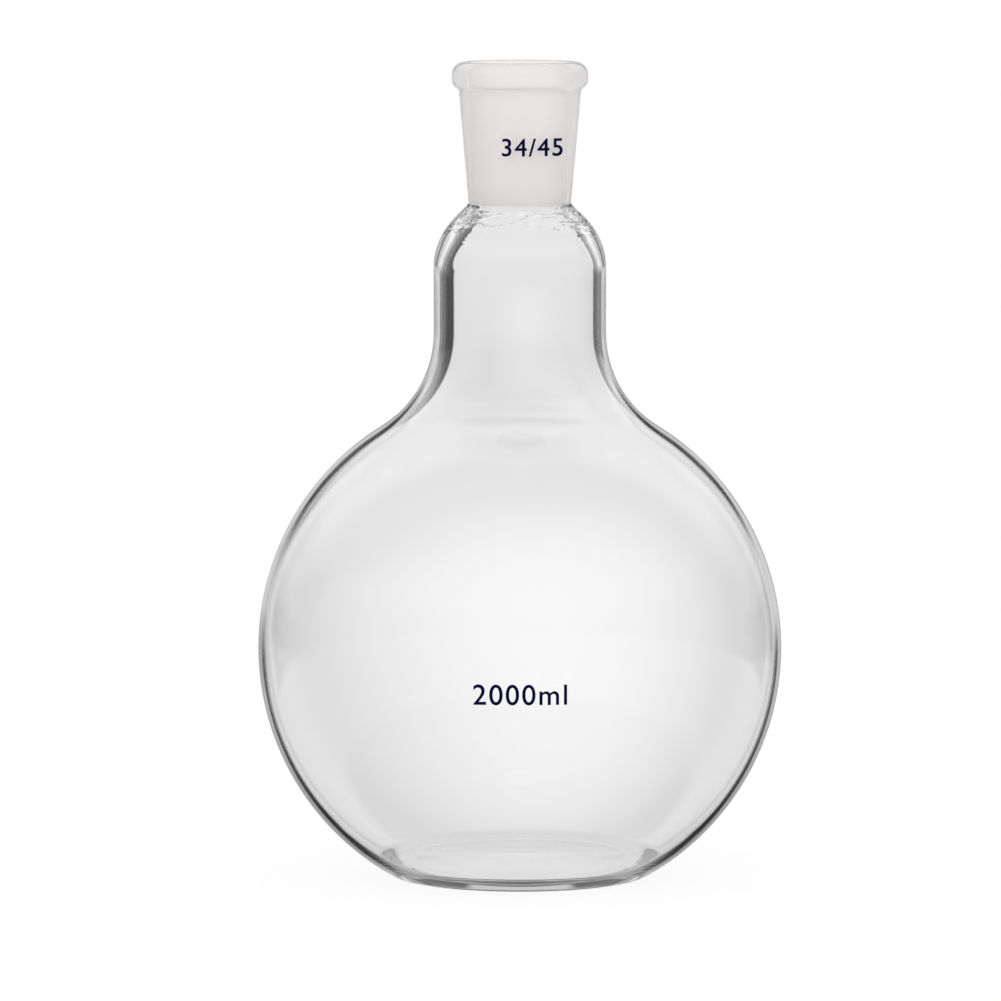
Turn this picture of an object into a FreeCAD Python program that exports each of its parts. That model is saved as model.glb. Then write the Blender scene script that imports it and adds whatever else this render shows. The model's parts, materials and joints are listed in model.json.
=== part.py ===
import FreeCAD, Part
import math
import os

import Sketcher

# A flat bottom boiling flask, blown and sealed as one piece of borosilicate glass.
# Millimetres, +Z up, with the origin on the axis in the plane that the flask stands on.
# The wall is one turned section: the outer skin is revolved, and the hollow is revolved out of it.

NODE = "flask"

# Driving dimensions: alias, value, what it is
SIZES = [
    ("total_height", 270.0, "standing plane to the lip"),
    ("body_radius", 86.7, "outside of the round body"),
    ("body_centre", 76.0, "height of the round body's centre"),
    ("heel_radius", 7.8, "outside round between the body and the flat base"),
    ("ring_width", 4.0, "flat ring that the flask stands on"),
    ("base_dish", 1.0, "how far the underside is dished up at its middle"),
    ("base_wall", 4.5, "glass at the middle of the base"),
    ("inner_heel_radius", 6.0, "inside round between the base and the body"),
    ("waist_wall", 1.5, "glass of the body at its widest"),
    ("wall_gain", 2.0, "how far the glass thickens towards the body's top and bottom"),
    ("flare_radius", 36.5, "outside sweep from the body into the neck"),
    ("neck_radius", 28.5, "outside of the neck"),
    ("neck_wall", 2.3, "glass of the neck"),
    ("neck_top", 201.9, "where the neck starts to round in to the socket"),
    ("shoulder_radius", 23.8, "outside round at the top of the neck"),
    ("shoulder_slope", 45.0, "fall of the shoulder where it meets the socket, degrees"),
    ("seal_radius", 1.6, "hollow round where the socket is sealed to the shoulder"),
    ("socket_radius", 20.2, "outside of the socket under its bead"),
    ("socket_draft", 5.0, "narrowing of the socket's outside on each side, degrees"),
    ("bead_radius", 22.5, "outside of the bead at the mouth"),
    ("bead_depth", 9.0, "lip to the bead's underside"),
    ("bead_under_radius", 3.1, "round under the bead"),
    ("bead_over_radius", 4.2, "round over the bead"),
    ("collar_radius", 0.8, "hollow round between the socket and its bead"),
    ("bore_radius", 17.25, "ground bore at its wide end"),
    ("bore_inset", 2.6, "lip to the wide end of the ground bore"),
    ("bore_taper", 10.0, "length over which the bore loses one of diameter"),
    ("mouth_radius", 0.9, "round at the edge of the mouth"),
    ("foot_radius", 1.8, "round where the bore opens into the neck"),
]

# The hollow's section runs on this far past the lip, so that the cut leaves no skin
CUT_PAST_LIP = 5.0


def make_sheet(doc):
    """The sheet of driving dimensions, one row each: the name, the value and what it is."""
    sheet = doc.addObject("Spreadsheet::Sheet", "Sizes")
    for row, (alias, value, meaning) in enumerate(SIZES, start=1):
        sheet.set("A%d" % row, alias)
        sheet.set("B%d" % row, str(value))
        sheet.set("C%d" % row, meaning)
        sheet.setAlias("B%d" % row, alias)
    doc.recompute()
    return sheet


def other_leg(longest, leg):
    """The second leg of a right-angled triangle."""
    return math.sqrt(longest * longest - leg * leg)


class Section:
    """A closed run of lines and arcs in one sketch, each joined to the end of the one before."""

    def __init__(self, body, name):
        self.sketch = body.newObject("Sketcher::SketchObject", name)
        upright = [plane for plane in body.Origin.OriginFeatures if plane.Role == "XZ_Plane"][0]
        self.sketch.AttachmentSupport = [(upright, "")]
        self.sketch.MapMode = "FlatFace"
        self.parts = {}
        self.order = []

    def keep(self, name, index, start, end, smooth):
        """Records a new edge and joins it, smoothly or at a corner, to the edge before."""
        if self.order:
            last, _, last_end = self.parts[self.order[-1]]
            kind = "Tangent" if smooth else "Coincident"
            self.sketch.addConstraint(Sketcher.Constraint(kind, last, last_end, index, start))
        self.parts[name] = (index, start, end)
        self.order.append(name)

    def line(self, name, start, end, smooth=True):
        edge = Part.LineSegment(FreeCAD.Vector(*start, 0), FreeCAD.Vector(*end, 0))
        self.keep(name, self.sketch.addGeometry(edge), 1, 2, smooth)

    def arc(self, name, centre, radius, first, last, smooth=True):
        """An arc from the angle first to the angle last, in degrees, clockwise where last is the smaller."""
        circle = Part.Circle(FreeCAD.Vector(*centre, 0), FreeCAD.Vector(0, 0, 1), radius)
        low, high = sorted((math.radians(first), math.radians(last)))
        index = self.sketch.addGeometry(Part.ArcOfCircle(circle, low, high))
        start, end = (1, 2) if last > first else (2, 1)
        self.keep(name, index, start, end, smooth)

    def close(self):
        """Joins the last edge to the first, and keeps both ends of that last edge on the axis."""
        last, last_start, last_end = self.parts[self.order[-1]]
        first, first_start, _ = self.parts[self.order[0]]
        self.rule("Coincident", last, last_end, first, first_start)
        self.rule("PointOnObject", last, last_start, -2)
        self.rule("PointOnObject", last, last_end, -2)

    def rule(self, kind, *what):
        return self.sketch.addConstraint(Sketcher.Constraint(kind, *what))

    def size(self, name, kind, what, value, expression):
        """A named dimension of the sketch, driven from the sheet."""
        index = self.rule(kind, *what, value)
        self.sketch.renameConstraint(index, name)
        self.sketch.setExpression("Constraints." + name, expression)

    def radius(self, edge, value, expression):
        self.size(edge + "_radius", "Radius", (self.parts[edge][0],), value, expression)

    def across(self, name, edge, where, value, expression):
        """The distance from the axis to the start (1), end (2) or centre (3) of an edge."""
        self.size(name, "DistanceX", (-1, 1, self.parts[edge][0], where), value, expression)

    def up(self, name, edge, where, value, expression):
        """The height over the standing plane of the start (1), end (2) or centre (3) of an edge."""
        self.size(name, "DistanceY", (-1, 1, self.parts[edge][0], where), value, expression)


def upright_angle(degrees):
    """The direction of a wall that leans degrees outwards from upright, as an angle from level."""
    return math.radians(90.0 + degrees)


def draw_skin(body, get):
    """The outer skin, from the middle of the base up and round to the middle of the lip."""
    height, radius, centre = get("total_height"), get("body_radius"), get("body_centre")
    heel, flare, neck = get("heel_radius"), get("flare_radius"), get("neck_radius")
    shoulder, slope, neck_top = get("shoulder_radius"), get("shoulder_slope"), get("neck_top")
    socket, draft = get("socket_radius"), get("socket_draft")
    bead, under, over = get("bead_radius"), get("bead_under_radius"), get("bead_over_radius")
    seal, collar, dish = get("seal_radius"), get("collar_radius"), get("base_dish")

    heel_out = other_leg(radius - heel, centre - heel)
    heel_end = math.degrees(math.atan2(heel - centre, heel_out))
    ring_in = heel_out - get("ring_width")
    dish_radius = (ring_in * ring_in + dish * dish) / (2.0 * dish)
    dish_angle = math.degrees(math.acos((dish_radius - dish) / dish_radius))
    flare_up = other_leg(radius + flare, neck + flare)
    flare_start = math.degrees(math.atan2(flare_up, neck + flare))

    lean = math.radians(draft)
    tilt = math.radians(slope)
    bead_low = height - get("bead_depth")
    slope_top = (neck - shoulder + shoulder * math.cos(tilt), neck_top + shoulder * math.sin(tilt))

    # The corner where the shoulder's slope would meet the socket's wall, before it is rounded
    wall_foot = socket - bead_low * math.tan(lean)
    along = (slope_top[0] - wall_foot - slope_top[1] * math.tan(lean)) / (
        math.sin(tilt) + math.cos(tilt) * math.tan(lean))
    corner = (slope_top[0] - along * math.sin(tilt), slope_top[1] + along * math.cos(tilt))
    cut_back = seal * math.tan((tilt + lean) / 2.0)
    slope_end = (corner[0] + cut_back * math.sin(tilt), corner[1] - cut_back * math.cos(tilt))
    wall_start = (corner[0] + cut_back * math.sin(lean), corner[1] + cut_back * math.cos(lean))
    seal_centre = (wall_start[0] + seal * math.cos(lean), wall_start[1] - seal * math.sin(lean))

    under_centre = (bead - under, bead_low + under)
    wall_end = (socket - collar * math.sin(lean), bead_low - collar)
    collar_centre = (wall_end[0] + collar * math.cos(lean), wall_end[1] - collar * math.sin(lean))
    collar_turn = math.degrees(math.atan2(under_centre[1] - collar_centre[1],
                                          under_centre[0] - collar_centre[0]))

    skin = Section(body, "SkinSection")
    skin.arc("dish", (0.0, dish - dish_radius), dish_radius, 90.0, 90.0 - dish_angle)
    skin.line("ring", (ring_in, 0.0), (heel_out, 0.0), smooth=False)
    skin.arc("heel", (heel_out, heel), heel, -90.0, heel_end)
    skin.arc("body", (0.0, centre), radius, heel_end, flare_start)
    skin.arc("flare", (neck + flare, centre + flare_up), flare, flare_start + 180.0, 180.0)
    skin.line("neck", (neck, centre + flare_up), (neck, neck_top))
    skin.arc("shoulder", (neck - shoulder, neck_top), shoulder, 0.0, slope)
    skin.line("slope", slope_top, slope_end)
    skin.arc("seal", seal_centre, seal, 180.0 + slope, 180.0 - draft)
    skin.line("socket", wall_start, wall_end)
    skin.arc("collar", collar_centre, collar, 180.0 - draft, collar_turn)
    skin.arc("bead_under", under_centre, under, collar_turn - 180.0, 0.0)
    skin.line("bead_side", (bead, bead_low + under), (bead, height - over))
    skin.arc("bead_over", (bead - over, height - over), over, 0.0, 90.0)
    skin.line("lip", (bead - over, height), (0.0, height))
    skin.line("axis", (0.0, height), (0.0, dish), smooth=False)
    skin.close()

    part = skin.parts
    skin.rule("PointOnObject", part["dish"][0], 3, -2)
    skin.rule("PointOnObject", part["ring"][0], 1, -1)
    skin.rule("PointOnObject", part["ring"][0], 2, -1)
    skin.rule("PointOnObject", part["body"][0], 3, -2)
    skin.rule("Vertical", part["neck"][0])
    skin.rule("Vertical", part["bead_side"][0])
    skin.rule("Horizontal", part["lip"][0])
    skin.up("dish_rise", "axis", 2, dish, "Sizes.base_dish")
    skin.size("ring_width", "DistanceX", (part["ring"][0], 1, part["ring"][0], 2),
              get("ring_width"), "Sizes.ring_width")
    skin.radius("heel", heel, "Sizes.heel_radius")
    skin.radius("body", radius, "Sizes.body_radius")
    skin.up("body_height", "body", 3, centre, "Sizes.body_centre")
    skin.radius("flare", flare, "Sizes.flare_radius")
    skin.across("neck_across", "neck", 2, neck, "Sizes.neck_radius")
    skin.radius("shoulder", shoulder, "Sizes.shoulder_radius")
    skin.up("neck_top", "neck", 2, neck_top, "Sizes.neck_top")
    skin.size("slope_angle", "Angle", (part["slope"][0],), upright_angle(slope),
              "90 deg + Sizes.shoulder_slope * 1 deg")
    skin.radius("seal", seal, "Sizes.seal_radius")
    skin.size("socket_angle", "Angle", (part["socket"][0],), upright_angle(-draft),
              "90 deg - Sizes.socket_draft * 1 deg")
    skin.across("socket_across", "socket", 2, wall_end[0], "Sizes.socket_radius")
    skin.radius("collar", collar, "Sizes.collar_radius")
    skin.radius("bead_under", under, "Sizes.bead_under_radius")
    skin.across("bead_across", "bead_side", 2, bead, "Sizes.bead_radius")
    skin.up("bead_side_low", "bead_side", 1, bead_low + under,
            "Sizes.total_height - Sizes.bead_depth + Sizes.bead_under_radius")
    skin.radius("bead_over", over, "Sizes.bead_over_radius")
    skin.up("lip_height", "lip", 2, height, "Sizes.total_height")
    return skin.sketch


def draw_hollow(body, get):
    """The hollow, from the middle of the floor up and round, and out through the mouth."""
    height, centre = get("total_height"), get("body_centre")
    gain, wall = get("wall_gain"), get("neck_wall")
    inner = get("body_radius") - get("waist_wall") - gain
    floor = get("base_dish") + get("base_wall")
    heel, flare = get("inner_heel_radius"), get("flare_radius") + wall
    neck, neck_top = get("neck_radius") - wall, get("neck_top")
    shoulder, slope = get("shoulder_radius") - wall, get("shoulder_slope")
    bore, taper = get("bore_radius"), get("bore_taper")
    gauge_height = height - get("bore_inset")
    mouth, foot = get("mouth_radius"), get("foot_radius")

    heel_out = gain + other_leg(inner - heel, centre - floor - heel)
    heel_end = math.degrees(math.atan2(floor + heel - centre, heel_out - gain))
    flare_up = other_leg(inner + flare, neck + flare - gain)
    flare_start = math.degrees(math.atan2(flare_up, neck + flare - gain))

    lean = math.atan(0.5 / taper)
    tilt = math.radians(slope)
    slope_top = (neck - shoulder + shoulder * math.cos(tilt), neck_top + shoulder * math.sin(tilt))

    # The corner where the inner slope would meet the bore, before it is rounded
    bore_at_zero = bore - gauge_height * math.tan(lean)
    along = (slope_top[0] - bore_at_zero - slope_top[1] * math.tan(lean)) / (
        math.sin(tilt) + math.cos(tilt) * math.tan(lean))
    corner = (slope_top[0] - along * math.sin(tilt), slope_top[1] + along * math.cos(tilt))
    cut_back = foot * math.tan((tilt + lean) / 2.0)
    slope_end = (corner[0] + cut_back * math.sin(tilt), corner[1] - cut_back * math.cos(tilt))
    bore_start = (corner[0] + cut_back * math.sin(lean), corner[1] + cut_back * math.cos(lean))
    foot_centre = (bore_start[0] + foot * math.cos(lean), bore_start[1] - foot * math.sin(lean))

    mouth_height = height - mouth
    bore_end_height = mouth_height + mouth * math.sin(lean)
    bore_end = (bore_at_zero + bore_end_height * math.tan(lean), bore_end_height)
    mouth_centre = (bore_end[0] + mouth * math.cos(lean), mouth_height)

    hollow = Section(body, "HollowSection")
    hollow.line("floor", (0.0, floor), (heel_out, floor))
    hollow.arc("heel", (heel_out, floor + heel), heel, -90.0, heel_end)
    hollow.arc("body", (gain, centre), inner, heel_end, flare_start)
    hollow.arc("flare", (neck + flare, centre + flare_up), flare, flare_start + 180.0, 180.0)
    hollow.line("neck", (neck, centre + flare_up), (neck, neck_top))
    hollow.arc("shoulder", (neck - shoulder, neck_top), shoulder, 0.0, slope)
    hollow.line("slope", slope_top, slope_end)
    hollow.arc("foot", foot_centre, foot, 180.0 + slope, 180.0 - math.degrees(lean))
    hollow.line("bore", bore_start, bore_end)
    hollow.arc("mouth", mouth_centre, mouth, 180.0 - math.degrees(lean), 90.0)
    hollow.line("rise", (mouth_centre[0], height), (mouth_centre[0], height + CUT_PAST_LIP), smooth=False)
    hollow.line("top", (mouth_centre[0], height + CUT_PAST_LIP), (0.0, height + CUT_PAST_LIP), smooth=False)
    hollow.line("axis", (0.0, height + CUT_PAST_LIP), (0.0, floor), smooth=False)
    hollow.close()

    part = hollow.parts
    hollow.rule("Horizontal", part["floor"][0])
    hollow.rule("Vertical", part["neck"][0])
    hollow.rule("Vertical", part["rise"][0])
    hollow.rule("Horizontal", part["top"][0])
    hollow.rule("Vertical", part["mouth"][0], 3, part["rise"][0], 1)
    hollow.up("floor_height", "floor", 2, floor, "Sizes.base_dish + Sizes.base_wall")
    hollow.radius("heel", heel, "Sizes.inner_heel_radius")
    hollow.radius("body", inner, "Sizes.body_radius - Sizes.waist_wall - Sizes.wall_gain")
    hollow.across("body_shift", "body", 3, gain, "Sizes.wall_gain")
    hollow.up("body_height", "body", 3, centre, "Sizes.body_centre")
    hollow.radius("flare", flare, "Sizes.flare_radius + Sizes.neck_wall")
    hollow.across("neck_across", "neck", 2, neck, "Sizes.neck_radius - Sizes.neck_wall")
    hollow.radius("shoulder", shoulder, "Sizes.shoulder_radius - Sizes.neck_wall")
    hollow.up("neck_top", "neck", 2, neck_top, "Sizes.neck_top")
    hollow.size("slope_angle", "Angle", (part["slope"][0],), upright_angle(slope),
                "90 deg + Sizes.shoulder_slope * 1 deg")
    hollow.radius("foot", foot, "Sizes.foot_radius")
    hollow.size("bore_angle", "Angle", (part["bore"][0],), math.pi / 2.0 - lean,
                "90 deg - atan(0.5 / Sizes.bore_taper)")
    hollow.radius("mouth", mouth, "Sizes.mouth_radius")
    hollow.up("lip_height", "rise", 1, height, "Sizes.total_height")
    hollow.up("top_height", "top", 1, height + CUT_PAST_LIP, "Sizes.total_height + %s" % CUT_PAST_LIP)

    # The wide end of the ground bore, as a point on its wall
    gauge = hollow.sketch.addGeometry(Part.Point(FreeCAD.Vector(bore, gauge_height, 0)), True)
    hollow.rule("PointOnObject", gauge, 1, part["bore"][0])
    hollow.size("bore_across", "DistanceX", (-1, 1, gauge, 1), bore, "Sizes.bore_radius")
    hollow.size("bore_height", "DistanceY", (-1, 1, gauge, 1), gauge_height,
                "Sizes.total_height - Sizes.bore_inset")
    return hollow.sketch


def make_flask(doc, get):
    """The flask: its skin turned about the axis, and its hollow turned out of it."""
    body = doc.addObject("PartDesign::Body", "Flask")
    body.Label = NODE
    body.Placement = FreeCAD.Placement()
    skin = draw_skin(body, get)
    blank = body.newObject("PartDesign::Revolution", "Blank")
    blank.Profile = skin
    blank.ReferenceAxis = (skin, ["V_Axis"])
    blank.Angle = 360.0
    doc.recompute()
    solid_volume = blank.Shape.Volume

    hollow = draw_hollow(body, get)
    cut = body.newObject("PartDesign::Groove", "Hollow")
    cut.Profile = hollow
    cut.ReferenceAxis = (hollow, ["V_Axis"])
    cut.Angle = 360.0
    body.Tip = cut
    doc.recompute()
    if cut.Shape.Volume > 0.5 * solid_volume:
        raise ValueError("The hollow was not cut")
    return body


def check(doc, bodies):
    """Stops before anything is written if a feature failed or a shape is not a closed solid."""
    for thing in doc.Objects:
        if "Invalid" in thing.State or "Error" in thing.State:
            raise ValueError("%s failed: %s" % (thing.Name, thing.State))
    for body in bodies:
        if body.Shape.isNull() or not body.Shape.isValid() or len(body.Shape.Solids) != 1:
            raise ValueError("%s is not one valid solid" % body.Label)


def main():
    doc = FreeCAD.newDocument("FlatBottomFlask")
    sheet = make_sheet(doc)
    flask = make_flask(doc, lambda alias: float(sheet.get(alias)))
    check(doc, [flask])
    os.makedirs("parts", exist_ok=True)
    flask.Shape.exportStep("parts/%s.step" % flask.Label)


main()
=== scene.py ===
import json
import math

import bmesh
import bpy
from bpy.props import FloatProperty, FloatVectorProperty, IntProperty, PointerProperty, StringProperty
from mathutils import Matrix, Vector


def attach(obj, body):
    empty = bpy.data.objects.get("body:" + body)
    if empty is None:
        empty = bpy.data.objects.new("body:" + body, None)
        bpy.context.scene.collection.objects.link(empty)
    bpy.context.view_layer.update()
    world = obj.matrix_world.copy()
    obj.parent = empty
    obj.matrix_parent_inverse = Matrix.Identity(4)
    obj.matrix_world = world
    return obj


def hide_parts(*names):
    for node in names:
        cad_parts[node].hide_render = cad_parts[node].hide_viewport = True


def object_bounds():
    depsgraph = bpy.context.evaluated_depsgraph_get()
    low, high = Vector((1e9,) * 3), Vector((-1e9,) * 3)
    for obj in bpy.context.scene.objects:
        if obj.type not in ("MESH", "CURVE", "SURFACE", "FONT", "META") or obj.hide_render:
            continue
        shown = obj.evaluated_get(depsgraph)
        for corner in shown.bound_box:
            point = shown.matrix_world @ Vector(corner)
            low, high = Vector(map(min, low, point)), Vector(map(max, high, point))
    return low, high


# A flat bottom boiling flask: one blown wall of clear glass with a ground socket, and its fired marks.
# Metres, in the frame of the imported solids, standing on z = 0.

bl_info = {
    "name": "Flat bottom flask",
    "version": (1, 0, 0),
    "blender": (4, 5, 0),
    "location": "View3D > Sidebar > Flask",
    "description": "Makes a flat bottom boiling flask of clear glass on a pale stage",
    "category": "Add Mesh",
}

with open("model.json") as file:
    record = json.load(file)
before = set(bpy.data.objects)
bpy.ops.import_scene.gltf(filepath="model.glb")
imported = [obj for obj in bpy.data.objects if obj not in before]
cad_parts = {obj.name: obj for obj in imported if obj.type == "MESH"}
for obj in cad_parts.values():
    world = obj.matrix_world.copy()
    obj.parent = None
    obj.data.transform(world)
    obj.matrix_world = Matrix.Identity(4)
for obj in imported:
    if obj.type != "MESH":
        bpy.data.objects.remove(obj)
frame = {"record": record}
cad_low, cad_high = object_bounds()
NODE = "flask"
MM = 0.001
# Points nearer than this are one point
SAME_PLACE = 0.001 * MM
HOLLOW_SIDE = "hollow_side"
GLASS_IOR = 1.473
RECORD_MOUNTS = {mount["name"]: mount for mount in frame["record"]["mounts"]}


def linear(code):
    """An sRGB hex colour as the linear red, green and blue that shaders take."""
    parts = [int(code[at:at + 2], 16) / 255.0 for at in (1, 3, 5)]
    return tuple(v / 12.92 if v <= 0.04045 else ((v + 0.055) / 1.055) ** 2.4 for v in parts)


def length(name, description, millimetres):
    """A size that the user can change."""
    return FloatProperty(name=name, description=description, default=millimetres * MM, unit="LENGTH",
                         precision=5)


def turn(name, description, degrees):
    """An angle that the user can change."""
    return FloatProperty(name=name, description=description, default=math.radians(degrees), unit="ROTATION")


def colour(name, description, code):
    """A colour that the user can change."""
    return FloatVectorProperty(name=name, description=description, default=linear(code),
                               subtype="COLOR", size=3)


class FlaskWallSizes(bpy.types.PropertyGroup):
    """The turned section of the glass wall."""
    total_height: FloatProperty(name="Height", description="Standing plane to the lip",
                                default=cad_high[2], unit="LENGTH", precision=5)
    body_radius: FloatProperty(name="Body radius", description="Outside of the round body",
                               default=cad_high[0], unit="LENGTH", precision=5)
    body_centre: length("Body centre", "Height of the round body's centre", 76.0)
    heel_radius: length("Heel", "Outside round between the body and the base", 7.8)
    ring_width: length("Foot ring", "Flat ring that the flask stands on", 4.0)
    base_dish: length("Dish", "How far the underside is dished up", 1.0)
    base_wall: length("Base glass", "Glass at the middle of the base", 4.5)
    inner_heel_radius: length("Inner heel", "Inside round between the base and the body", 6.0)
    waist_wall: length("Waist glass", "Glass of the body at its widest", 1.5)
    wall_gain: length("Glass gain", "How far the glass thickens towards top and bottom", 2.0)
    even_below: length("Evening below", "How far under the flare the glass starts to even out", 22.0)
    even_above: length("Evening above", "How far over the foot of the flare the glass is even", 10.0)
    flare_radius: length("Flare", "Outside sweep from the body into the neck", 36.5)
    blend_reach: length("Blend", "Half the run over which the body's bend turns into the flare's", 9.0)
    neck_radius: FloatProperty(name="Neck radius", description="Outside of the neck", unit="LENGTH",
                               default=RECORD_MOUNTS["neck"]["dims"]["r_mm"] * MM, precision=5)
    neck_wall: length("Neck glass", "Glass of the neck", 2.3)
    neck_top: length("Neck top", "Where the neck starts to round in", 201.9)
    shoulder_wall: length("Shoulder glass", "Glass of the shoulder, gathered for the seal", 3.6)
    gather_below: length("Gather below", "How far under the neck's top the glass starts to thicken", 3.0)
    gather_above: length("Gather above", "How far over the neck's top it is thickest", 14.0)
    shoulder_radius: length("Shoulder", "Outside round at the top of the neck", 23.8)
    shoulder_slope: turn("Shoulder slope", "Fall of the shoulder where it meets the socket", 45.0)
    seal_radius: length("Seal", "Hollow round where the socket is sealed on", 1.6)
    socket_radius: length("Socket radius", "Outside of the socket under its bead", 20.2)
    socket_draft: turn("Socket draft", "Narrowing of the socket's outside on each side", 5.0)
    bead_radius: length("Bead radius", "Outside of the bead at the mouth", 22.5)
    bead_depth: length("Bead depth", "Lip to the bead's underside", 9.0)
    bead_under_radius: length("Bead underside", "Round under the bead", 3.1)
    bead_over_radius: length("Bead top", "Round over the bead", 4.2)
    collar_radius: length("Collar", "Hollow round between the socket and its bead", 0.8)
    bore_radius: length("Bore radius", "Ground bore at its wide end", 17.25)
    bore_inset: length("Bore inset", "Lip to the wide end of the ground bore", 2.6)
    bore_length: length("Ground length", "Length that is ground matt", 44.6)
    bore_taper: FloatProperty(name="Bore taper", default=10.0,
                              description="Length over which the bore loses one of diameter")
    mouth_radius: length("Mouth", "Round at the edge of the mouth", 0.9)
    foot_radius: length("Bore foot", "Round where the bore opens into the neck", 1.8)
    steps_round: IntProperty(name="Steps round", description="Facets round the axis", default=180, min=32)


class FlaskFireMarks(bpy.types.PropertyGroup):
    """What the flame and the blower's hand leave in the glass."""
    seal_middle: length("Seal middle", "Height of the middle of the sealed band", 219.0)
    seal_reach: length("Seal reach", "Half the height of the sealed band", 7.5)
    seal_ripple: length("Seal ripple", "Depth of the soft rings in the sealed band", 0.16)
    seal_crease: length("Seal crease", "Height of the fine creases in the sealed band", 0.22)
    wall_wave: length("Wall wave", "How far the inside of the body strays from true", 0.10)
    thin_height: length("Thin height", "Height at which the blown wall is thinnest", 94.0)
    thin_reach: length("Thin reach", "Half the height of the thinner band", 34.0)
    thin_depth: length("Thin depth", "Glass missing at the thinnest", 0.3)
    lean_over: length("Lean over", "How far the hollow lies to one side of the body", 0.2)
    true_below: length("True below", "Height up to which the hollow is true", 20.0)


class FlaskFinish(bpy.types.PropertyGroup):
    """Colours of the glass and of the fired enamel."""
    glass: colour("Glass", "Clear borosilicate", "#FFFFFF")
    # Painted shade: the flare colour darkens the flare's glass where it is faced, so that its middle looks
    # darker
    flare: colour("Flare glass", "Clear borosilicate where the neck is drawn out of the body", "#F3F3F3")
    ground: colour("Ground glass", "The matt bore", "#F8F5F4")
    enamel: colour("Enamel", "The fired marks", "#000030")


class FlaskMarks(bpy.types.PropertyGroup):
    """The plain numerals fired on the glass."""
    capacity: StringProperty(name="Capacity", description="Numerals on the body", default="2000ml")
    capacity_height: length("Capacity height", "Middle of the numerals on the body", 70.4)
    capacity_tall: length("Capacity numerals", "Height of the numerals on the body", 6.5)
    taper: StringProperty(name="Taper", description="Numerals on the socket", default="34/45")
    taper_height: length("Taper height", "Middle of the numerals on the socket", 242.6)
    taper_tall: length("Taper numerals", "Height of the numerals on the socket", 5.7)
    taper_shift: length("Taper shift", "How far the numerals on the socket sit to the right", 4.0)
    seat: length("Enamel seat", "Height of the enamel's back over the glass, clear of its facets", 0.03)
    coat: length("Enamel coat", "Thickness of the fired enamel", 0.08)
    ink: length("Spread", "How far the enamel spreads at each side of a stroke", 0.08)


class FlaskStage(bpy.types.PropertyGroup):
    """The camera's place and the light."""
    camera_back: length("Camera distance", "Camera to the flask's axis, level", 2500.0)
    camera_height: length("Camera height", "Camera over the floor", 359.0)
    camera_side: length("Camera side", "Camera beside the flask's axis", -6.4)
    camera_pitch: turn("Camera pitch", "How far the camera looks down", 5.35)
    lens: FloatProperty(name="Lens", description="Focal length in millimetres", default=272.75)


def add_node(tree, kind, settings=None, inputs=None):
    """Adds a node, makes its settings, and fills its inputs with values or with links."""
    node = tree.nodes.new(kind)
    for key, value in (settings or {}).items():
        setattr(node, key, value)
    for key, value in (inputs or {}).items():
        if isinstance(value, bpy.types.NodeSocket):
            tree.links.new(value, node.inputs[key])
        else:
            node.inputs[key].default_value = value
    return node


def arith(tree, operation, *values):
    """The result of one Math node."""
    return add_node(tree, "ShaderNodeMath", {"operation": operation}, dict(enumerate(values))).outputs[0]


def product(tree, *shares):
    """All the shares multiplied."""
    made = shares[0]
    for share in shares[1:]:
        made = arith(tree, "MULTIPLY", made, share)
    return made


def ramp(tree, value, low, high):
    """0 where the value is at low, 1 where it is at high, and smooth between: low may be the larger."""
    made = add_node(tree, "ShaderNodeMapRange", {"interpolation_type": "SMOOTHSTEP"}, {
        "Value": value, "From Min": low, "From Max": high, "To Min": 0.0, "To Max": 1.0})
    return made.outputs[0]


def band(tree, value, start, full, still_full, gone):
    """0 up to start, 1 from full to still_full, 0 again from gone on, and smooth between."""
    return product(tree, ramp(tree, value, start, full), ramp(tree, value, gone, still_full))


def bell(tree, distance):
    """1 at no distance and 0 at a distance of 1 either way, with smooth ends."""
    return ramp(tree, arith(tree, "ABSOLUTE", distance), 1.0, 0.0)


def choose(tree, share, first, second):
    """The first value where the share is 0, the second where it is 1."""
    made = add_node(tree, "ShaderNodeMix", {"data_type": "FLOAT"}, {0: share, 2: first, 3: second})
    return made.outputs[0]


def length_of(tree, first, second):
    """The length of a slope from its two legs."""
    return arith(tree, "SQRT", arith(
        tree, "ADD", product(tree, first, first), product(tree, second, second)))


def steps_from(tree, value, middle, reach):
    """How far a value is from its middle, counted in reaches."""
    return arith(tree, "DIVIDE", arith(tree, "SUBTRACT", value, middle), reach)


def uneven(tree, place, scale, detail, roughness=0.5, distortion=0.0):
    """A noise that swings to both sides of 0."""
    noise = add_node(tree, "ShaderNodeTexNoise", None, {
        "Vector": place, "Scale": scale, "Detail": detail, "Roughness": roughness, "Distortion": distortion})
    return arith(tree, "SUBTRACT", noise.outputs["Fac"], 0.5)


def height_of(tree, place):
    """The height of a place over the standing plane."""
    return add_node(tree, "ShaderNodeSeparateXYZ", None, {0: place}).outputs["Z"]


def level_way_out(tree, place):
    """The level direction that runs from the axis out to a place."""
    axes = add_node(tree, "ShaderNodeSeparateXYZ", None, {0: place}).outputs
    level = add_node(tree, "ShaderNodeCombineXYZ", None, {0: axes["X"], 1: axes["Y"], 2: 0.0})
    out = add_node(tree, "ShaderNodeVectorMath", {"operation": "NORMALIZE"}, {0: level.outputs[0]})
    return out.outputs[0]


def new_material(name):
    """An empty node material: its tree, its output node and the place that is shaded."""
    material = bpy.data.materials.new(name)
    material.use_nodes = True
    tree = material.node_tree
    tree.nodes.clear()
    output = add_node(tree, "ShaderNodeOutputMaterial")
    return material, tree, output, add_node(tree, "ShaderNodeTexCoord").outputs["Object"]


# Materials


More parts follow.
